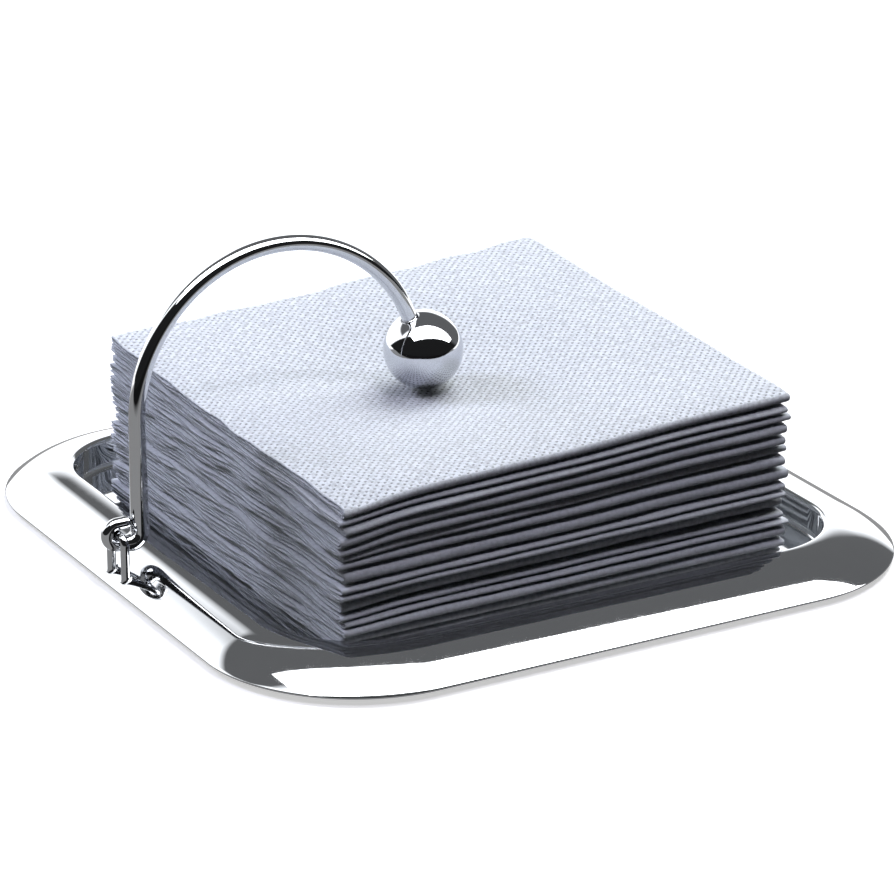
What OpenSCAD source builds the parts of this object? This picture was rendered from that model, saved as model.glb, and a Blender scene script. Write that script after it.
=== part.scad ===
// Flat napkin dispenser: a square mirror-polished tray with a domed rim, a stack of
// quarter-folded napkins in its well, and a swing-over weighted arm that holds them down.
// Millimetres, +Z up. The origin is the middle of the tray's flat underside. The arm
// hinges on the -X side of the rim, and the napkins' folded edges face -Y.

/* [Tray] */
// Half of the tray's outside width
tray_half = 123.6; // [110:0.1:140]
// Radius of the tray's outside corners
corner_r = 53; // [40:1:60]
// Half of the well's inside width
well_half = 99.8; // [90:0.1:105]
// Height of the rim's crest above the table
crest_z = 11.6; // [10:0.1:16]
// Distance from the crest in to the well's wall
crest_in = 0.8; // [0:0.1:4]
// Radius of the rim's domed section, from its crest down to its outer edge
dome_r = 34; // [32:0.5:60]
// Thickness of the sheet steel
sheet = 1; // [0.6:0.1:1.5]

/* [Napkins] */
// Side of a folded napkin
napkin_side = 165; // [120:1:170]
// Height that one folded napkin takes in the stack
napkin_pitch = 3; // [2:0.1:4]
// Largest sideways offset of a napkin from the middle of the stack
stack_wander = 1.1; // [0:0.1:2]

/* [Arm] */
// Diameter of the arm's rod at the foot of its stem
stem_d = 6.3; // [5:0.1:8]
// Diameter of the rod along the curve
rod_d = 5.4; // [4:0.1:7]
// Centre-line radius of the arm's curve
arc_r = 51.6; // [45:0.1:60]
// Distance from the middle of the tray to the centre of the curve, towards the hinge
arc_x = 60.5; // [50:0.1:70]
// Height of the centre of the curve
arc_z = 56.5; // [50:0.1:65]
// Angle above level at which the curve ends, by the weight
arc_end = 23; // [10:1:40]
// Straight length of rod from the end of the curve to the middle of the weight
tail = 15; // [14:0.1:20]
// Diameter of the ball weight
ball_d = 26.6; // [20:0.1:32]
// How far the rod goes into the ball
ball_bore = 8; // [5:0.5:12]

/* [Hinge] */
// Diameter of the wire that the arm's eye is bent from
eye_d = 4.2; // [3:0.1:5]
// Centre-line radius of the eye's rounded end
eye_r = 3.6; // [3:0.1:5]
// Distance from the stem's axis to the far end of the eye, on its centre line
eye_reach = 11.6; // [9:0.1:15]
// Diameter of the staple's wire
staple_d = 2.9; // [2:0.1:2.9]
// Distance from the middle of the staple to the middle of each leg
staple_half = 5.2; // [5:0.1:8]
// Clear height between the foot of the arm and the rim under its stem
foot_gap = 3.2; // [0.5:0.1:8]

/* [Hidden] */
$fn = 96;
eps = 0.01;
// A straight rod is this much thinner than the curve that it runs into, and this far inside it
weld_step = 0.04;
weld_lap = 0.4;
corner_c = tray_half - corner_r;
wall_r = well_half - corner_c;
crest_r = wall_r + crest_in;
dome_z = crest_z - dome_r;
stem_x = arc_x + arc_r;
bar_x = stem_x + eye_reach - eye_r;
bar_z = foot_gap + rim_z(stem_x) + eye_r + stem_d / 2;
leg_foot_z = 2.2;
staple_bend = 2.4;
tail_dir = [sin(arc_end), -cos(arc_end)];
arc_end_x = -arc_x + arc_r * cos(arc_end);
arc_end_z = arc_z + arc_r * sin(arc_end);
ball_x = arc_end_x + tail * tail_dir[0];
ball_z = arc_end_z + tail * tail_dir[1];
bore_mouth = ball_d / 2;
napkin_gap = 0.02;
// Angle steps that spread the napkins' small offsets evenly round the compass
wander_step = 137;
turn_step = 71;
// Largest turn of one napkin in the stack, in degrees
turn_max = 0.35;

// Height of the rim's upper surface, at a distance from the middle of the tray
function rim_z(x) = dome_z + sqrt(dome_r * dome_r - pow(x - corner_c - crest_r, 2));

// ---- tray ----

// The rim's domed section: an arc of sheet from the well's wall to the outer edge
module rim_section() {
  intersection() {
    difference() {
      translate([crest_r, dome_z])
        circle(r = dome_r, $fn = 360);
      translate([crest_r, dome_z])
        circle(r = dome_r - sheet, $fn = 360);
    }
    translate([wall_r, 0])
      square([corner_r - wall_r, crest_z]);
  }
}

// The section of the well's upright wall, up to the middle of the dome's sheet
module wall_section() {
  translate([wall_r, 0])
    square([sheet, crest_z - sheet / 2]);
}

// Any section, drawn by its distance from a corner's centre, carried round the tray
module carry_round() {
  for (a = [0:90:270])
    rotate([0, 0, a])
      translate([corner_c, corner_c, 0]) {
        rotate_extrude(angle = 90, $fn = 180)
          children();
        rotate([90, 0, 0])
          linear_extrude(height = 2 * corner_c)
            children();
      }
}

// The well's flat floor, out to the outside of its wall
module well_floor() {
  reach = wall_r + sheet - eps;
  linear_extrude(height = sheet)
    union() {
      square([2 * (corner_c + reach), 2 * corner_c], center = true);
      square([2 * corner_c, 2 * (corner_c + reach)], center = true);
      for (x = [-1, 1], y = [-1, 1])
        translate([x * corner_c, y * corner_c])
          circle(r = reach, $fn = 180);
    }
}

module tray() {
  color([0.78, 0.79, 0.81])
    difference() {
      union() {
        carry_round()
          union() {
            rim_section();
            wall_section();
          }
        well_floor();
      }
      for (side = [-1, 1])
        translate([-bar_x, side * staple_half, leg_foot_z])
          cylinder(r = staple_d / 2, h = crest_z);
    }
}

// ---- hinge ----

// Quarter of a bent wire in the XZ plane, from angle start
module bend(r, wire, start, sweep) {
  rotate([90, 0, 0])
    rotate([0, 0, start])
      rotate_extrude(angle = sweep)
        translate([r, 0])
          circle(r = wire / 2);
}

module hinge_staple() {
  leg_top = bar_z - staple_bend;
  bar_half = staple_half - staple_bend;
  color([0.70, 0.71, 0.73])
    translate([-bar_x, 0, 0])
      rotate([0, 0, 90]) {
        translate([-bar_half, 0, bar_z])
          rotate([0, 90, 0])
            cylinder(r = staple_d / 2, h = 2 * bar_half);
        for (a = [0, 180])
          rotate([0, 0, a]) {
            translate([bar_half, 0, leg_top])
              bend(staple_bend, staple_d, 0, 90);
            translate([staple_half, 0, leg_foot_z])
              cylinder(r = staple_d / 2, h = leg_top - leg_foot_z);
          }
      }
}

// ---- arm ----

// Straight end of the rod, from the end of the curve into the ball
module tail_rod() {
  translate([arc_end_x, 0, arc_end_z])
    rotate([0, 180 - arc_end, 0])
      translate([0, 0, -weld_lap])
        cylinder(d = rod_d - weld_step, h = tail - bore_mouth + ball_bore + weld_lap);
}

module arm_rod() {
  foot_x = -stem_x - eye_r;
  color([0.74, 0.75, 0.77])
    union() {
      // stem, tapering up to the curve
      translate([-stem_x, 0, bar_z])
        cylinder(d1 = stem_d, d2 = rod_d - weld_step, h = arc_z + weld_lap - bar_z);
      // curve over the napkins
      translate([-arc_x, 0, arc_z])
        bend(arc_r, rod_d, arc_end, 180 - arc_end);
      // straight end, down into the weight
      tail_rod();
      // turn at the foot of the stem
      translate([foot_x, 0, bar_z])
        bend(eye_r, stem_d, 270, 90);
      // run along the rim, tapering to the eye's wire
      translate([foot_x, 0, bar_z - eye_r])
        rotate([0, -90, 0])
          cylinder(d1 = stem_d, d2 = eye_d, h = bar_x - stem_x - eye_r);
      // rounded end of the eye, round the staple
      translate([-bar_x, 0, bar_z])
        bend(eye_r, eye_d, 90, 180);
      // run back to the stem
      translate([-bar_x, 0, bar_z + eye_r])
        rotate([0, 90, 0])
          cylinder(d = eye_d, h = bar_x - stem_x);
    }
}

module weight_ball() {
  color([0.66, 0.67, 0.69])
    difference() {
      translate([ball_x, 0, ball_z])
        sphere(d = ball_d);
      tail_rod();
    }
}

// ---- napkins, numbered from the bottom of the stack ----

module napkin(k) {
  wander = stack_wander * sin(k * turn_step);
  color([0.93, 0.94, 0.97])
    translate([
      wander * cos(k * wander_step),
      wander * sin(k * wander_step),
      sheet + napkin_gap + (k - 1) * napkin_pitch
    ])
      rotate([0, 0, turn_max * sin(k * wander_step)])
        linear_extrude(height = napkin_pitch - napkin_gap)
          square([napkin_side, napkin_side], center = true);
}

tray();
hinge_staple();
arm_rod();
weight_ball();
napkin(1);  // napkin_01
napkin(2);  // napkin_02
napkin(3);  // napkin_03
napkin(4);  // napkin_04
napkin(5);  // napkin_05
napkin(6);  // napkin_06
napkin(7);  // napkin_07
napkin(8);  // napkin_08
napkin(9);  // napkin_09
napkin(10);  // napkin_10
napkin(11);  // napkin_11
napkin(12);  // napkin_12
napkin(13);  // napkin_13
napkin(14);  // napkin_14
napkin(15);  // napkin_15
napkin(16);  // napkin_16
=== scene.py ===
import math

import bpy
import numpy as np
from mathutils import Matrix, Vector


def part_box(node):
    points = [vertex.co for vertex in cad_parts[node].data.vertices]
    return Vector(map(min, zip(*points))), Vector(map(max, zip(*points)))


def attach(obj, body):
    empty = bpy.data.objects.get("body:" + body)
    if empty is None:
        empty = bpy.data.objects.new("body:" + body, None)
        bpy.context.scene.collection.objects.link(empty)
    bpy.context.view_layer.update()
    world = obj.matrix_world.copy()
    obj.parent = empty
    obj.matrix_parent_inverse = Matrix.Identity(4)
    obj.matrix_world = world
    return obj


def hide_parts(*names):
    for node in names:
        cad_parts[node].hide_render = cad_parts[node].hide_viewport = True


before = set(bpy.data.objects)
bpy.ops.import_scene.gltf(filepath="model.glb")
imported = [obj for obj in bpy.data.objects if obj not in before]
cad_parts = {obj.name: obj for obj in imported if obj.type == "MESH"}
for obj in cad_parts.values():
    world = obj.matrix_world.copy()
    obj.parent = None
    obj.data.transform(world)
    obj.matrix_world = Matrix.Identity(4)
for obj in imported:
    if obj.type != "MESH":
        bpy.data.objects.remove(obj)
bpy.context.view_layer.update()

# ---------------------------------------------------------------- sizes, in metres
# Each is measured from the CAD node's box or repeats the value in part.scad
MM = 0.001
tray_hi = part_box("tray")[1]
TRAY_HALF = tray_hi.x
CREST_Z = tray_hi.z
SHEET = 1 * MM
CORNER_R = 53 * MM
WALL_IN = 99.8 * MM
CREST_IN = 0.8 * MM
DOME_R = 34 * MM
CORNER_C = TRAY_HALF - CORNER_R
WALL_R = WALL_IN - CORNER_C
CREST_R = WALL_R + CREST_IN
DOME_Z = CREST_Z - DOME_R
# The pressed sheet's own bends, from the dome to the wall and from the wall to the floor
RIM_FILLET = 1.5 * MM
FLOOR_FILLET = 2 * MM

STEM_R = 3.15 * MM
ROD_R = 2.7 * MM
EYE_WIRE_R = 2.1 * MM
EYE_R = 3.6 * MM
ARC_R = 51.6 * MM
ARC_X = -60.5 * MM
ARC_Z = 56.5 * MM
ARC_END = math.radians(23)
TAIL = 15 * MM
BORE = 8 * MM
STEM_X = ARC_X - ARC_R

staple_lo, staple_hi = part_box("hinge_staple")
STAPLE_R = (staple_hi.x - staple_lo.x) / 2
BAR_X = (staple_hi.x + staple_lo.x) / 2
BAR_Z = staple_hi.z - STAPLE_R
STAPLE_HALF = staple_hi.y - STAPLE_R
STAPLE_BEND = 2.4 * MM

ball_lo, ball_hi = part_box("weight_ball")
BALL_R = (ball_hi.z - ball_lo.z) / 2
TAIL_DIR = Vector((math.sin(ARC_END), 0, -math.cos(ARC_END)))
ARC_TIP = Vector((ARC_X + ARC_R * math.cos(ARC_END), 0, ARC_Z + ARC_R * math.sin(ARC_END)))
BALL_C = ARC_TIP + TAIL_DIR * TAIL

NAPKIN_COUNT = 16
NAPKIN_HALF = 82.5 * MM
LEAF = 0.46 * MM  # thickness of one leaf with its emboss


# ---------------------------------------------------------------- mesh helpers
def make_object(name, points, faces, material, smooth=True):
    mesh = bpy.data.meshes.new(name)
    mesh.from_pydata([tuple(p) for p in points], [], faces)
    mesh.update()
    mesh.polygons.foreach_set("use_smooth", [smooth] * len(mesh.polygons))
    obj = bpy.data.objects.new(name, mesh)
    bpy.context.scene.collection.objects.link(obj)
    obj.data.materials.append(material)
    return obj


def ring_faces(rings, count, closed=True):
    """Quads between neighbouring rings of count points each."""
    last = count if closed else count - 1
    faces = []
    for r in range(rings - 1):
        a, b = r * count, (r + 1) * count
        for i in range(last):
            j = (i + 1) % count
            faces.append((a + i, a + j, b + j, b + i))
    return faces


def capped_faces(rings, count):
    """The same, with a face over the first ring and one over the last."""
    start = tuple(range(count))[::-1]
    end = tuple((rings - 1) * count + i for i in range(count))
    return [*ring_faces(rings, count), start, end]


def flipped(faces):
    return [face[::-1] for face in faces]


def tube(name, path, radii, across, material, sides):
    """A round rod along a flat path. across is the direction square to the path's plane."""
    path = np.array(path, float)
    radii = np.array(radii, float)
    across = np.array(across, float)
    ahead = np.gradient(path, axis=0)
    ahead /= np.linalg.norm(ahead, axis=1)[:, None]
    beside = np.cross(ahead, across)
    turn = np.linspace(0, 2 * math.pi, sides, endpoint=False)
    rings = (
        path[:, None, :]
        + radii[:, None, None]
        * (np.cos(turn)[None, :, None] * across + np.sin(turn)[None, :, None] * beside[:, None, :])
    )
    return make_object(name, rings.reshape(-1, 3), flipped(capped_faces(len(path), sides)), material)


def arc_points(cx, cz, r, start, end, count, plane="xz"):
    """Points on an arc, from start to end degrees, in the XZ or YZ plane."""
    t = np.radians(np.linspace(start, end, count))
    a, b = cx + r * np.cos(t), cz + r * np.sin(t)
    zero = np.zeros_like(a)
    return np.stack([a, zero, b] if plane == "xz" else [zero, a, b], -1)


def smooth_step(x):
    x = np.clip(x, 0, 1)
    return x * x * (3 - 2 * x)


# ---------------------------------------------------------------- material helpers
def new_material(name):
    material = bpy.data.materials.new(name)
    material.use_nodes = True
    nodes = material.node_tree.nodes
    return material, nodes, material.node_tree.links, nodes["Principled BSDF"]


def noise(nodes, links, coord, scale, detail=4.0, rough=0.55):
    node = nodes.new("ShaderNodeTexNoise")
    node.inputs["Scale"].default_value = scale
    node.inputs["Detail"].default_value = detail
    node.inputs["Roughness"].default_value = rough
    links.new(coord, node.inputs["Vector"])
    return node.outputs["Fac"]


def ramp(nodes, links, value, low, high, out_low, out_high):
    node = nodes.new("ShaderNodeMapRange")
    node.inputs["From Min"].default_value = low
    node.inputs["From Max"].default_value = high
    node.inputs["To Min"].default_value = out_low
    node.inputs["To Max"].default_value = out_high
    links.new(value, node.inputs["Value"])
    return node.outputs["Result"]


def math_node(nodes, links, operation, a, b=None):
    node = nodes.new("ShaderNodeMath")
    node.operation = operation
    for socket, value in zip(node.inputs, (a, b)):
        if value is None:
            continue
        if isinstance(value, (int, float)):
            socket.default_value = value
        else:
            links.new(value, socket)
    return node.outputs[0]


def mix_colour(nodes, links, value, low, high):
    node = nodes.new("ShaderNodeMix")
    node.data_type = "RGBA"
    node.inputs[6].default_value = (*low, 1)
    node.inputs[7].default_value = (*high, 1)
    links.new(value, node.inputs[0])
    return node.outputs[2]


def less_bounce(nodes, links, colour, share):
    """The colour for everything but light bounced off the surface, which is cut to a share of it,
    so gaps and undersides go as dark as they do under the photograph's hard studio light."""
    path = nodes.new("ShaderNodeLightPath")
    mix = nodes.new("ShaderNodeMix")
    mix.data_type = "RGBA"
    mix.blend_type = "MULTIPLY"
    mix.inputs[7].default_value = (share, share, share, 1)
    links.new(path.outputs["Is Diffuse Ray"], mix.inputs[0])
    links.new(colour, mix.inputs[6])
    return mix.outputs[2]


def steel(name, dark, light, rough_low, rough_high, along):
    """Mirror-polished steel with polishing haze, hairlines that run one way, and faint smudges.
    along is the hairlines' scale on each axis, smallest on the one that they follow."""
    material, nodes, links, shader = new_material(name)
    shader.inputs["Metallic"].default_value = 1.0
    coord = nodes.new("ShaderNodeTexCoord").outputs["Object"]
    stretch = nodes.new("ShaderNodeMapping")
    stretch.inputs["Scale"].default_value = along
    links.new(coord, stretch.inputs["Vector"])
    hairline = noise(nodes, links, stretch.outputs["Vector"], 1.0, 3.0, 0.6)
    smudge = noise(nodes, links, coord, 28.0, 5.0, 0.6)
    haze = noise(nodes, links, coord, 260.0, 3.0, 0.5)
    blend = math_node(nodes, links, "MULTIPLY", smudge, haze)
    rough = ramp(nodes, links, blend, 0.12, 0.42, rough_low, rough_high)
    links.new(rough, shader.inputs["Roughness"])
    tone = mix_colour(nodes, links, smudge, dark, light)
    links.new(less_bounce(nodes, links, tone, 0.15), shader.inputs["Base Color"])
    bump = nodes.new("ShaderNodeBump")
    bump.inputs["Strength"].default_value = 0.035
    bump.inputs["Distance"].default_value = 0.02 * MM
    links.new(hairline, bump.inputs["Height"])
    links.new(bump.outputs["Normal"], shader.inputs["Normal"])
    return material


EMBOSS = 3.0 * MM  # period of the embossed lattice along X and along Y


def paper(name, painted_pit_shade, fleck):
    """Embossed tissue: a lattice of dimples with painted shade at their bottoms, soft fibres and slight
    blue-white mottling.
    The second argument is how light the painted shade at the bottom of a dimple is, and fleck how light
    the darkest fibres are."""
    material, nodes, links, shader = new_material(name)
    places = nodes.new("ShaderNodeTexCoord")
    coord = places.outputs["Object"]
    split = nodes.new("ShaderNodeSeparateXYZ")
    links.new(places.outputs["UV"], split.inputs["Vector"])
    ripples = []
    for axis in ("X", "Y"):
        turn = math_node(nodes, links, "MULTIPLY", split.outputs[axis], 2 * math.pi / EMBOSS)
        ripples.append(math_node(nodes, links, "COSINE", turn))
    lattice = math_node(nodes, links, "MULTIPLY", ripples[0], ripples[1])
    fibre = noise(nodes, links, coord, 1700.0, 5.0, 0.7)
    speckle = noise(nodes, links, coord, 620.0, 3.0, 0.6)
    mottle = noise(nodes, links, coord, 120.0, 4.0, 0.6)
    body = mix_colour(nodes, links, mottle, (0.76, 0.80, 0.88), (0.84, 0.87, 0.93))
    # only the level faces are embossed and carry the painted shade in the dimples, and not the folds
    # and the leaves' edges
    facing = nodes.new("ShaderNodeSeparateXYZ")
    links.new(places.outputs["Normal"], facing.inputs["Vector"])
    level = ramp(nodes, links, facing.outputs["Z"], 0.84, 0.94, 0.0, 1.0)
    # painted shade: the bottom of each dimple is coloured darker, on top of the bump and, on the top
    # napkin, the real dimples
    pit = ramp(nodes, links, lattice, -0.85, -0.2, 1.0, 0.0)
    pit = math_node(nodes, links, "MULTIPLY", pit, level)
    uneven = ramp(nodes, links, speckle, 0.35, 0.65, 0.35, 1.25)
    painted_shade_and_flecks = math_node(nodes, links, "MULTIPLY", pit, uneven)
    painted_shade_and_flecks = ramp(nodes, links, painted_shade_and_flecks, 0.0, 1.0, 1.0, painted_pit_shade)
    flecks = ramp(nodes, links, speckle, 0.34, 0.58, fleck, 1.0)
    painted_shade_and_flecks = math_node(nodes, links, "MULTIPLY", painted_shade_and_flecks, flecks)
    body_with_painted_shade = nodes.new("ShaderNodeMix")
    body_with_painted_shade.data_type = "RGBA"
    body_with_painted_shade.blend_type = "MULTIPLY"
    body_with_painted_shade.inputs[0].default_value = 1.0
    links.new(body, body_with_painted_shade.inputs[6])
    links.new(painted_shade_and_flecks, body_with_painted_shade.inputs[7])
    links.new(less_bounce(nodes, links, body_with_painted_shade.outputs[2], 0.3), shader.inputs["Base Color"])
    links.new(ramp(nodes, links, fibre, 0.3, 0.7, 0.82, 0.97), shader.inputs["Roughness"])
    shader.inputs["Sheen Weight"].default_value = 0.12
    shader.inputs["Sheen Roughness"].default_value = 0.6
    shader.inputs["Specular IOR Level"].default_value = 0.2
    height = math_node(nodes, links, "MULTIPLY", pit, -0.8)
    height = math_node(nodes, links, "ADD", height, fibre)
    bump = nodes.new("ShaderNodeBump")
    bump.inputs["Strength"].default_value = 0.7
    bump.inputs["Distance"].default_value = 0.12 * MM
    links.new(height, bump.inputs["Height"])
    links.new(bump.outputs["Normal"], shader.inputs["Normal"])
    return material


tray_steel = steel(
    "tray_steel", (0.60, 0.61, 0.63), (0.68, 0.69, 0.71), 0.03, 0.08, (60, 3000, 3000))
rod_steel = steel(
    "rod_steel", (0.58, 0.59, 0.61), (0.66, 0.67, 0.69), 0.03, 0.07, (4000, 4000, 60))
ball_steel = steel(
    "ball_steel", (0.58, 0.59, 0.62), (0.65, 0.66, 0.69), 0.02, 0.055, (500, 500, 2500))
staple_steel = steel(
    "staple_steel", (0.52, 0.53, 0.55), (0.62, 0.63, 0.65), 0.05, 0.11, (3000, 200, 3000))
# The emboss and the painted shade in its dimples show on the top napkin, less on the one under it, and
# hardly on the rest
napkin_paper = paper("napkin_paper", 0.95, 0.86)
next_paper = paper("napkin_paper_next", 0.78, 0.84)
top_paper = paper("napkin_paper_top", 0.3, 0.74)


# ---------------------------------------------------------------- camera, at the viewing angle
AZIMUTH, ELEVATION = math.radians(-29.57), math.radians(21.1)
TARGET = Vector((1.42 * MM, -0.8 * MM, 26.84 * MM))
DISTANCE = 1.431
camera_data = bpy.data.cameras.new("camera")
camera_data.sensor_width = 36
camera_data.lens = 172.4
camera = bpy.data.objects.new("camera", camera_data)
back = Vector((
    math.sin(AZIMUTH) * math.cos(ELEVATION),
    -math.cos(AZIMUTH) * math.cos(ELEVATION),
    math.sin(ELEVATION),
))
camera.location = TARGET + back * DISTANCE
camera.rotation_mode = "QUATERNION"
camera.rotation_quaternion = (-back).to_track_quat("-Z", "Y")
bpy.context.scene.collection.objects.link(camera)
bpy.context.scene.camera = camera


# ---------------------------------------------------------------- tray
SIDE_STEPS = 44
CORNER_STEPS = 72
FLOOR_RINGS = (6 * MM, 14 * MM, 21 * MM)  # extra rings across the floor, from the corners' centres


def spokes():
    """Where each spoke starts and which way it points, once round the tray.
    Round a corner the spokes fan out from its centre; along a side they are parallel."""
    starts, ways = [], []
    for quarter in range(4):
        turn = quarter * math.pi / 2
        spin = np.array([[math.cos(turn), -math.sin(turn)], [math.sin(turn), math.cos(turn)]])
        for angle in np.linspace(0, math.pi / 2, CORNER_STEPS, endpoint=False):
            starts.append(spin @ (CORNER_C, CORNER_C))
            ways.append(spin @ (math.cos(angle), math.sin(angle)))
        for x in np.linspace(CORNER_C, -CORNER_C, SIDE_STEPS, endpoint=False):
            starts.append(spin @ (x, CORNER_C))
            ways.append(spin @ (0, 1))
    return np.array(starts), np.array(ways)


def arc(centre, r, start, end, count):
    """Points of the section on an arc, from start to end degrees."""
    return [
        (centre[0] + r * math.cos(a), centre[1] + r * math.sin(a))
        for a in np.radians(np.linspace(start, end, count))
    ]


def tray_section():
    """The pressed sheet's outline as (distance from a corner's centre, height), all the way round."""
    floor_bend = (WALL_R - FLOOR_FILLET, SHEET + FLOOR_FILLET)
    reach = WALL_R + RIM_FILLET
    rim_bend = (reach, DOME_Z + math.sqrt((DOME_R - RIM_FILLET) ** 2 - (reach - CREST_R) ** 2))
    lean = math.degrees(math.asin((reach - CREST_R) / (DOME_R - RIM_FILLET)))
    half = SHEET / 2
    end = math.degrees(math.asin((CORNER_R - half - CREST_R) / (DOME_R - half)))
    dome = (CREST_R, DOME_Z)
    a = math.radians(90 - end)
    edge = (CREST_R + (DOME_R - half) * math.cos(a), DOME_Z + (DOME_R - half) * math.sin(a))
    inner = [(r, SHEET) for r in FLOOR_RINGS]
    upper = inner + arc(floor_bend, FLOOR_FILLET, -90, 0, 10)
    upper += arc(rim_bend, RIM_FILLET, 180, 90 - lean, 16)
    upper += arc(dome, DOME_R, 90 - lean, 90 - end, 40)[1:]
    upper += arc(edge, half, 90 - end, -90 - end, 10)[1:-1]
    lower = arc(dome, DOME_R - SHEET, 90 - end, 90 - lean, 30)
    lower += arc(rim_bend, RIM_FILLET - SHEET, 90 - lean, 180, 8)[1:]
    lower += arc(floor_bend, FLOOR_FILLET + SHEET, 0, -90, 10)
    lower += [(r, 0) for r, _ in inner[::-1]]
    return upper + lower


def make_tray():
    starts, ways = spokes()
    section = tray_section()
    rings = [np.column_stack([starts + ways * r, np.full(len(starts), z)]) for r, z in section]
    count = len(starts)
    faces = flipped(capped_faces(len(rings), count))
    obj = make_object("tray_pressing", np.concatenate(rings), faces, tray_steel)
    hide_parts("tray")
    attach(obj, "dispenser")


def rim_height(x):
    """Height of the rim's upper surface along the tray's left side."""
    return DOME_Z + math.sqrt(DOME_R**2 - (abs(x) - CORNER_C - CREST_R) ** 2)


# ---------------------------------------------------------------- hinge staple
# Each ring of a weld bead: how far it stands out from the leg, and its height above the rim
WELD_RINGS = ((0, 0.9), (0.08, 0.55), (0.25, 0.25), (0.5, 0.08), (0.8, -0.02), (0.9, -0.2))
WELD_SIDES = 32


def make_staple():
    foot = staple_lo.z
    inner = STAPLE_HALF - STAPLE_BEND
    bend_z = BAR_Z - STAPLE_BEND
    leg = np.linspace(foot, bend_z, 12, endpoint=False)
    left = np.column_stack([np.zeros_like(leg), np.full_like(leg, -STAPLE_HALF), leg])
    near = arc_points(-inner, bend_z, STAPLE_BEND, 180, 90, 12, "yz")
    far = arc_points(inner, bend_z, STAPLE_BEND, 90, 0, 12, "yz")
    right = left[::-1] * (1, -1, 1)
    path = np.concatenate([left, near, far, right]) + (BAR_X, 0, 0)
    radii = np.full(len(path), STAPLE_R)
    obj = tube("hinge_staple_wire", path, radii, (1, 0, 0), staple_steel, 32)
    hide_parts("hinge_staple")
    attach(obj, "dispenser")
    # a small weld flares round each leg and follows the rolled rim
    for side, name in ((-1, "near"), (1, "far")):
        rings = []
        for grow, lift in WELD_RINGS:
            r = STAPLE_R + grow * MM
            ring = []
            for t in np.linspace(0, 2 * math.pi, WELD_SIDES, endpoint=False):
                x, y = BAR_X + r * math.cos(t), side * STAPLE_HALF + r * math.sin(t)
                ring.append((x, y, rim_height(x) + lift * MM))
            rings.append(ring)
        faces = flipped(ring_faces(len(rings), WELD_SIDES))
        weld = make_object(f"staple_weld_{name}", np.concatenate(rings), faces, staple_steel)
        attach(weld, "dispenser")


# ---------------------------------------------------------------- arm
EYE_TIP_GAP = 0.1 * MM  # between the curled end and the stem
ROUND_TIP = 1.2 * MM  # length of rod over which the curled end is rounded


def make_arm():
    run_z = BAR_Z + EYE_R
    tip_x = STEM_X - STEM_R - EYE_TIP_GAP
    turn_x = STEM_X - EYE_R
    top_run = [(x, 0, run_z) for x in np.linspace(tip_x, BAR_X, 8, endpoint=False)]
    half_turn = arc_points(BAR_X, BAR_Z, EYE_R, 90, 270, 32)
    low_run = [(x, 0, BAR_Z - EYE_R) for x in np.linspace(BAR_X, turn_x, 10)[1:-1]]
    quarter = arc_points(turn_x, BAR_Z, EYE_R, 270, 360, 20)
    stem = [(STEM_X, 0, z) for z in np.linspace(BAR_Z, ARC_Z, 30)[1:-1]]
    curve = arc_points(ARC_X, ARC_Z, ARC_R, 180, math.degrees(ARC_END), 120)
    tail_end = TAIL - BALL_R + BORE - 0.3 * MM
    end = [tuple(ARC_TIP + TAIL_DIR * d) for d in np.linspace(0, tail_end, 10)[1:]]
    path = np.concatenate([top_run, half_turn, low_run, quarter, stem, curve, end])
    length = np.concatenate([[0], np.cumsum(np.linalg.norm(np.diff(path, axis=0), axis=1))])
    eye_end = length[len(top_run) + len(half_turn) - 1]
    full = length[len(top_run) + len(half_turn) + len(low_run) + 6]
    stem_top = length[len(path) - len(end) - len(curve)]
    radii = EYE_WIRE_R + (STEM_R - EYE_WIRE_R) * smooth_step((length - eye_end) / (full - eye_end))
    taper = np.clip((length - full) / (stem_top - full), 0, 1)
    radii = np.where(length > full, STEM_R + (ROD_R - STEM_R) * taper, radii)
    short_of_full = 1 - np.minimum(length / ROUND_TIP, 1)
    radii = radii * np.sqrt(1 - 0.75 * short_of_full**2)
    obj = tube("arm_bent_rod", path, radii, (0, 1, 0), rod_steel, 64)
    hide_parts("arm_rod")
    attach(obj, "arm")


def make_ball():
    """Turned about the rod's end, with a bore for it and a small chamfer at its mouth."""
    hole, chamfer = ROD_R + 0.03 * MM, 0.35 * MM
    mouth = math.asin((hole + chamfer) / BALL_R)
    inner = BALL_R * math.cos(mouth)
    profile = [
        (0.2 * MM, BALL_R - BORE),
        (hole, BALL_R - BORE),
        (hole, inner - 2 * MM),
        (hole, inner - chamfer),
    ]
    for a in np.linspace(mouth, math.pi, 90):
        profile.append((BALL_R * math.sin(a), BALL_R * math.cos(a)))
    profile[-1] = (0.02 * MM, -BALL_R)
    axis = -TAIL_DIR
    side = Vector((0, 1, 0))
    other = axis.cross(side)
    turn = np.linspace(0, 2 * math.pi, 128, endpoint=False)
    points = []
    for r, h in profile:
        for t in turn:
            points.append(BALL_C + axis * h + side * (r * math.cos(t)) + other * (r * math.sin(t)))
    count = len(turn)
    obj = make_object("weight_ball_turned", points, capped_faces(len(profile), count), ball_steel)
    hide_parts("weight_ball")
    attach(obj, "arm")


# ---------------------------------------------------------------- napkins
FLOOR = SHEET  # height of the well's floor
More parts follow.
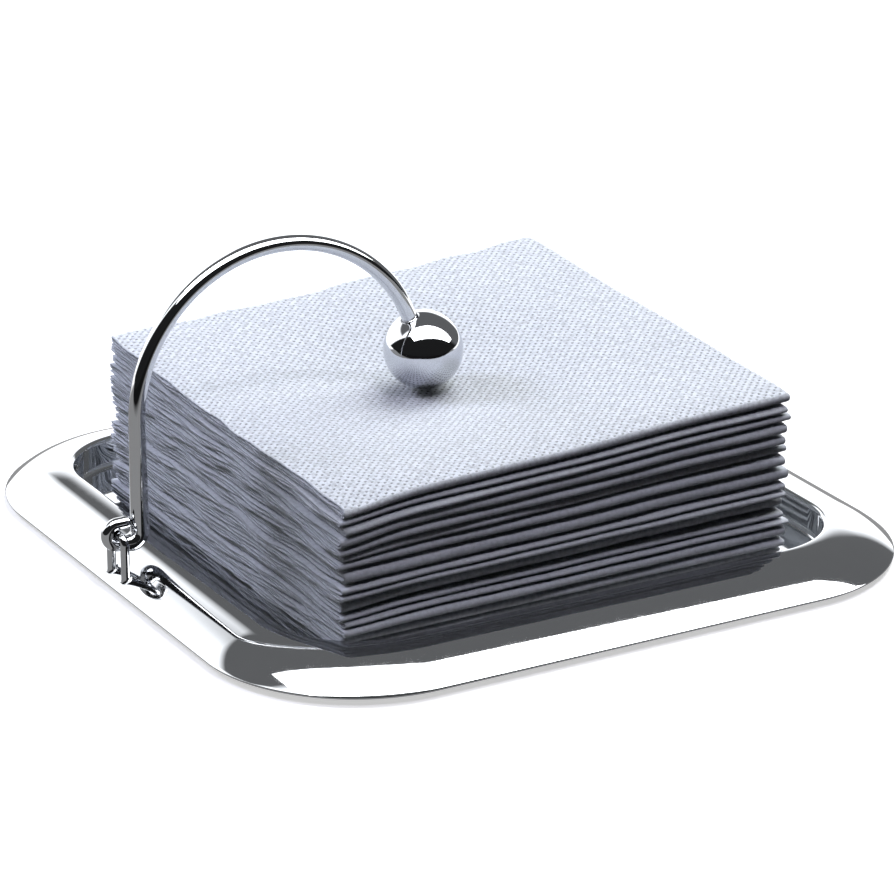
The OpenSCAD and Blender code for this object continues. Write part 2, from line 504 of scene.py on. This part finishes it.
# Height of the stack above the well's floor at its four corners
STACK_LEFT_BACK = 52.6 * MM
STACK_LEFT_FRONT = 50.0 * MM
STACK_RIGHT_FRONT = 57.2 * MM
STACK_RIGHT_BACK = 63.0 * MM
SAG_WIDTH = 46 * MM  # how far the ball's weight is felt round it
CURL = 2.2 * MM  # the back left corner curls up, and the front left one droops as far
SWELL = 0.35 * MM  # unevenness of the whole stack
THICK_SPREAD = 0.45  # how much thicker or thinner than usual a napkin may be
LAYER_DRIFT = 1.5 * MM  # how far the layers wander up and down at the open left edge
EDGE_JITTER = 0.55 * MM  # how far one leaf's open left edge stands out past another's
BACK_JITTER = 0.8 * MM  # the same at the open back edge
FOLD_DRIFT = 0.35 * MM  # how far the front fold wanders along its length
INNER_FOLD = 0.6 * MM  # radius of the right fold
FOLD_BULGE = 1.35 * MM  # how far the front fold rounds outwards
DIMPLE = 0.42 * MM  # depth of the top napkin's emboss
BALL_GAP = 0.05 * MM  # clear height between the top napkin and the ball
STEPS, FINE_STEPS, COARSE_STEPS = 54, 260, 24  # along a leaf; the fine ones carry the emboss
WANDER_STEP, TURN_MAX = 137, 0.35  # as in part.scad


def waves(x, y, seed, length, count=5):
    """Smooth random unevenness between about -1 and 1."""
    rng = np.random.default_rng(seed)
    total = np.zeros_like(x)
    for _ in range(count):
        angle, phase = rng.uniform(0, 2 * math.pi, 2)
        size = 2 * math.pi / (length * rng.uniform(0.7, 1.5))
        total = total + np.sin((x * math.cos(angle) + y * math.sin(angle)) * size + phase)
    return total / count * 1.4


def stack_height(x, y):
    """Height of the whole stack above the well's floor, pressed down under the ball."""
    u = np.clip(x / (2 * NAPKIN_HALF) + 0.5, -0.02, 1.02)
    v = np.clip(y / (2 * NAPKIN_HALF) + 0.5, -0.02, 1.02)
    front = STACK_LEFT_FRONT * (1 - u) + STACK_RIGHT_FRONT * u
    rear = STACK_LEFT_BACK * (1 - u) + STACK_RIGHT_BACK * u
    height = front * (1 - v) + rear * v
    away = np.hypot(x - BALL_C.x, y)
    under = BALL_C.z - BALL_R - FLOOR
    middle = (STACK_LEFT_BACK + STACK_LEFT_FRONT + STACK_RIGHT_FRONT + STACK_RIGHT_BACK) / 4
    height = height - (middle - under) * np.exp(-((away / SAG_WIDTH) ** 2))
    height = height + SWELL * waves(x, y, 7, 60 * MM) * smooth_step(away / (25 * MM) - 0.4)
    to_back = np.hypot(x + NAPKIN_HALF, y - NAPKIN_HALF)
    to_front = np.hypot(x + NAPKIN_HALF, y + NAPKIN_HALF)
    raised = np.exp(-((to_back / (30 * MM)) ** 2))
    drooped = np.exp(-((to_front / (17 * MM)) ** 2))
    return height + CURL * (raised - drooped)


def shares():
    """Each napkin's share of the stack's height; some are folded a little thicker."""
    rng = np.random.default_rng(11)
    thick = 1 + THICK_SPREAD * rng.uniform(-1, 1, NAPKIN_COUNT)
    return np.concatenate([[0], np.cumsum(thick) / thick.sum()])


SHARES = shares()
# How far each napkin's front fold stands out or back
NUDGE = np.random.default_rng(23).uniform(-1.2, 1.2, NAPKIN_COUNT) * MM


def layer_height(x, y, share):
    """Height of the boundary between two napkins; towards the open left edge the layers wander."""
    height = stack_height(x, y)
    loose = smooth_step(1 - (x + NAPKIN_HALF) / (25 * MM)) * 4 * share * (1 - share)
    drift = waves(y, np.full_like(y, share * 130 * MM), 77, 48 * MM, 6)
    return height * share + loose * drift * LAYER_DRIFT


def make_napkin(k):
    """One sheet folded twice, as a grid of points that runs out and back both ways."""
    name = f"napkin_{k:02d}"
    lo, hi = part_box(name)
    centre = (lo + hi) / 2
    turn = math.radians(TURN_MAX * math.sin(math.radians(k * WANDER_STEP)))
    on_top = k == NAPKIN_COUNT
    seen = FINE_STEPS if on_top else STEPS
    hidden = COARSE_STEPS if on_top else STEPS
    # first fold, on the right: the outer leaf becomes the inner leaf
    right = NAPKIN_HALF - INNER_FOLD
    out_x = np.linspace(-NAPKIN_HALF, right, seen, endpoint=False)
    in_x = np.linspace(right, -NAPKIN_HALF, hidden)
    bend = np.radians(np.linspace(-90, 90, 9))[1:-1]
    xs = np.concatenate([out_x, right + INNER_FOLD * np.cos(bend), in_x])
    inner = np.concatenate([np.zeros(len(out_x)), (1 + np.sin(bend)) / 2, np.ones(len(in_x))])
    # second fold, at the front: the lower half comes over to be the upper half
    front = -NAPKIN_HALF + FOLD_BULGE
    fold = np.radians(np.linspace(-90, 90, 13))[1:-1]
    low_y = np.linspace(NAPKIN_HALF, front, hidden)
    high_y = np.linspace(front, NAPKIN_HALF, seen)
    ys = np.concatenate([low_y, np.full(len(fold), front), high_y])
    side = np.concatenate([np.full(len(low_y), -1.0), np.sin(fold), np.full(len(high_y), 1.0)])
    out_of = np.concatenate([np.zeros(len(low_y)), np.cos(fold), np.zeros(len(high_y))])
    # A is 0 on an outer leaf and 1 on an inner one, B is -1 on the lower half and 1 on the upper
    # one, and F is 1 at the front fold's outermost line
    X, Y = np.meshgrid(xs, ys, indexing="ij")
    A = np.meshgrid(inner, ys, indexing="ij")[0]
    B = np.meshgrid(xs, side, indexing="ij")[1]
    F = np.meshgrid(xs, out_of, indexing="ij")[1]
    Y = Y - F * FOLD_BULGE * (1 - 0.62 * A)
    # how far each point is along the flat sheet, both ways
    along = np.concatenate([[0], np.cumsum(np.abs(np.diff(xs)) + 0.1 * MM * (np.diff(inner) > 0))])
    across = np.concatenate([[0], np.cumsum(np.hypot(np.diff(ys), np.diff(out_of) * FOLD_BULGE))])
    U, V = np.meshgrid(along, across, indexing="ij")
    # which of the four leaves a point is on, for its own unevenness
    rows = [waves(X, Y, 1000 + 10 * k + leaf, 22 * MM) for leaf in range(4)]
    lower = B < 0
    own = np.where(lower, np.where(A < 0.5, rows[0], rows[1]), np.where(A < 0.5, rows[3], rows[2]))
    side_share = 1 - np.abs(F)
    # the open edges don't quite line up
    open_left = smooth_step(1 - (X + NAPKIN_HALF) / (12 * MM))
    open_back = smooth_step((Y - NAPKIN_HALF) / (12 * MM) + 1)
    X = X + open_left * own * side_share * EDGE_JITTER
    Y = Y + open_back * own * side_share * BACK_JITTER
    # the fold wanders a little along its length
    Y = Y - F * FOLD_DRIFT * waves(X, Y * 0, 300 + k, 45 * MM)
    Y = Y + NUDGE[k - 1] * smooth_step(-Y / NAPKIN_HALF)
    bottom = FLOOR + layer_height(X, Y, SHARES[k - 1])
    thick = FLOOR + layer_height(X, Y, SHARES[k]) - bottom
    near_fold = smooth_step(1 - (Y + NAPKIN_HALF) / (9 * MM))
    near_left = smooth_step(1 - (X + NAPKIN_HALF) / (9 * MM))
    # the leaves close up towards the fold and the left edge, so a gap shows between napkins
    tight = np.maximum(near_fold, near_left) * 1.4
    spread = (0.40 - 0.08 * tight - (0.26 - 0.05 * tight) * A) * thick
    Z = bottom + thick / 2 + B * spread
    loose = np.maximum(open_left, open_back)
    Z = Z + own * side_share * (0.06 + 0.16 * loose) * MM
    if on_top:
        lattice = np.cos(2 * math.pi * U / EMBOSS) * np.cos(2 * math.pi * V / EMBOSS)
        upper_leaf = (B > 0.5) & (A < 0.5)
        Z = Z - DIMPLE * smooth_step((-lattice - 0.1) / 0.8) * upper_leaf
        # the ball's own hollow
        away = np.hypot(X - BALL_C.x, Y)
        ball_under = BALL_C.z - np.sqrt(np.maximum(BALL_R**2 - away**2, 0)) - LEAF / 2 - BALL_GAP
        Z = np.where((away < BALL_R * 0.8) & upper_leaf, np.minimum(Z, ball_under), Z)
    c, s = math.cos(turn), math.sin(turn)
    points = np.stack([centre.x + c * X - s * Y, centre.y + s * X + c * Y, Z], -1).reshape(-1, 3)
    faces = ring_faces(len(xs), len(ys), closed=False)
    sheet_paper = {NAPKIN_COUNT: top_paper, NAPKIN_COUNT - 1: next_paper}.get(k, napkin_paper)
    obj = make_object(f"{name}_folded", points, faces, sheet_paper)
    flat = np.stack([U, V], -1).reshape(-1, 2)
    corners = np.empty(len(obj.data.loops), dtype=np.int32)
    obj.data.loops.foreach_get("vertex_index", corners)
    obj.data.uv_layers.new(name="flat").data.foreach_set("uv", flat[corners].ravel())
    skin = obj.modifiers.new("leaf", "SOLIDIFY")
    skin.thickness = LEAF
    skin.offset = 0
    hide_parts(name)
    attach(obj, "top_napkin" if on_top else "dispenser")


# ---------------------------------------------------------------- floor and light
AHEAD = Vector((-back.x, -back.y, 0)).normalized()  # level, away from the viewer
RIGHT = Vector((AHEAD.y, -AHEAD.x, 0))
FLOOR_SIZE = 3.0  # half of the table's width
FLOOR_GAP = 0.1 * MM  # between the table and the tray


def studio(ahead, right, up):
    """A place in the studio, in metres from the middle of the tray."""
    return AHEAD * ahead + RIGHT * right + Vector((0, 0, up))


def dot(nodes, links, vector, way):
    node = nodes.new("ShaderNodeVectorMath")
    node.operation = "DOT_PRODUCT"
    links.new(vector, node.inputs[0])
    node.inputs[1].default_value = way
    return node.outputs["Value"]


def make_floor():
    """A pale table with a little glow of its own. In the steel it shows a painted reflection instead, a
    glow that is white beyond the tray and grey then dark on the near side, and almost none of it falls
    on anything as light.
    """
    material, nodes, links, shader = new_material("pale_floor")
    coord = nodes.new("ShaderNodeTexCoord").outputs["Object"]
    grain = noise(nodes, links, coord, 9.0, 3.0, 0.5)
    tone = mix_colour(nodes, links, grain, (0.90, 0.90, 0.91), (0.93, 0.93, 0.94))
    links.new(tone, shader.inputs["Base Color"])
    shader.inputs["Roughness"].default_value = 0.9
    shader.inputs["Specular IOR Level"].default_value = 0.1
    shader.inputs["Emission Color"].default_value = (1, 1, 1, 1)
    shader.inputs["Emission Strength"].default_value = 0.55
    # painted reflection: the glow seen in the steel, brightest beyond the tray and dim on the near side
    ahead = dot(nodes, links, coord, AHEAD)
    near = ramp(nodes, links, ahead, -0.36, -0.24, 0.01, 0.36)
    far = ramp(nodes, links, ahead, 0.12, 0.26, 0.0, 1.6)
    level = math_node(nodes, links, "ADD", near, far)
    path = nodes.new("ShaderNodeLightPath")
    bounced = ramp(nodes, links, path.outputs["Is Diffuse Ray"], 0, 1, 1, 0.02)
    level = math_node(nodes, links, "MULTIPLY", level, bounced)
    painted_reflection_glow = nodes.new("ShaderNodeEmission")
    links.new(level, painted_reflection_glow.inputs["Strength"])
    blend = nodes.new("ShaderNodeMixShader")
    links.new(path.outputs["Is Camera Ray"], blend.inputs[0])
    links.new(painted_reflection_glow.outputs[0], blend.inputs[1])
    links.new(shader.outputs[0], blend.inputs[2])
    links.new(blend.outputs[0], nodes["Material Output"].inputs["Surface"])
    corners = [(-1, -1), (1, -1), (1, 1), (-1, 1)]
    points = [(x * FLOOR_SIZE, y * FLOOR_SIZE, -FLOOR_GAP) for x, y in corners]
    make_object("floor", points, [(0, 1, 2, 3)], material, False)


def area_light(name, place, aim, size, power, glossy, colour=(1, 1, 1)):
    """A lamp that is seen only in reflections where glossy is True, and only lights where it isn't."""
    data = bpy.data.lights.new(name, "AREA")
    data.shape = "RECTANGLE"
    data.size, data.size_y = size
    data.energy = power
    data.color = colour
    lamp = bpy.data.objects.new(name, data)
    lamp.location = place
    lamp.rotation_mode = "QUATERNION"
    lamp.rotation_quaternion = (Vector(aim) - Vector(place)).to_track_quat("-Z", "Y")
    lamp.visible_glossy = glossy
    lamp.visible_diffuse = not glossy
    bpy.context.scene.collection.objects.link(lamp)
    return lamp


def make_world():
    """A studio with a white wall on the left, a grey one beyond, and near-darkness behind the viewer.
    The camera sees white all round, and little of it falls on anything as light."""
    world = bpy.data.worlds.new("studio")
    bpy.context.scene.world = world
    world.use_nodes = True
    nodes, links = world.node_tree.nodes, world.node_tree.links
    backdrop = nodes["Background"]
    way = nodes.new("ShaderNodeTexCoord").outputs["Generated"]
    ahead, right, up = (dot(nodes, links, way, v) for v in (AHEAD, RIGHT, (0, 0, 1)))
    wall = ramp(nodes, links, right, -0.31, -0.24, 1.0, 0.0)
    beyond = math_node(nodes, links, "ADD", up, math_node(nodes, links, "MULTIPLY", ahead, 1.04))
    lit = ramp(nodes, links, beyond, 0.33, 0.37, 0.0, 1.0)
    low = ramp(nodes, links, up, 0.53, 0.6, 1.0, 0.0)
    near = ramp(nodes, links, ahead, -0.12, -0.02, 1.0, 0.0)
    wall = math_node(nodes, links, "MULTIPLY", wall, math_node(nodes, links, "MAXIMUM", low, near))
    white = math_node(nodes, links, "MULTIPLY", wall, lit)
    straight_ahead = ramp(nodes, links, ahead, 0.85, 0.9, 0.0, 1.0)
    near_level = ramp(nodes, links, up, 0.36, 0.46, 1.0, 0.0)
    band = math_node(nodes, links, "MULTIPLY", straight_ahead, near_level)
    level = math_node(nodes, links, "MAXIMUM", white, band)
    level = math_node(nodes, links, "MULTIPLY", level, 2.0)
    grey = ramp(nodes, links, beyond, 0.25, 0.45, 0.0, 1.0)
    grey = math_node(nodes, links, "MULTIPLY", grey, 0.17)
    level = math_node(nodes, links, "ADD", level, grey)
    level = math_node(nodes, links, "MAXIMUM", level, 0.018)
    path = nodes.new("ShaderNodeLightPath")
    bounced = ramp(nodes, links, path.outputs["Is Diffuse Ray"], 0, 1, 1, 0.06)
    level = math_node(nodes, links, "MULTIPLY", level, bounced)
    level = math_node(nodes, links, "MAXIMUM", level, path.outputs["Is Camera Ray"])
    backdrop.inputs["Color"].default_value = (0.96, 0.98, 1.0, 1)
    links.new(level, backdrop.inputs["Strength"])


def make_lights():
    panel = area_light("top_panel", studio(-0.06, 0.38, 0.36), (0, 0, 0), (1.24, 0.25), 6.8, True)
    turn = math.radians(12)
    along = RIGHT * math.cos(turn) + AHEAD * math.sin(turn)
    across = AHEAD * math.cos(turn) - RIGHT * math.sin(turn)
    level = Matrix((along, across, Vector((0, 0, 1)))).transposed()
    panel.rotation_quaternion = level.to_quaternion()
    area_light("key", studio(0.75, 0.45, 1.1), (0, 0, 0.05), (1.2, 1.2), 21.5, False, (0.97, 1.0, 0.99))
    aim, place = (0, 0, 0.03), studio(0.15, -0.5, 0.42)
    area_light("left_fill", place, aim, (0.16, 0.16), 1.6, False, (0.77, 0.80, 1.0))
    place = studio(-0.5, 0.32, 1.3)
    area_light("front_fill", place, aim, (0.2, 0.2), 4.1, False, (0.88, 0.86, 1.0))


make_tray()
make_staple()
make_arm()
make_ball()
for number in range(1, NAPKIN_COUNT + 1):
    make_napkin(number)
make_floor()
make_world()
make_lights()
bpy.context.scene.view_settings.view_transform = "Standard"
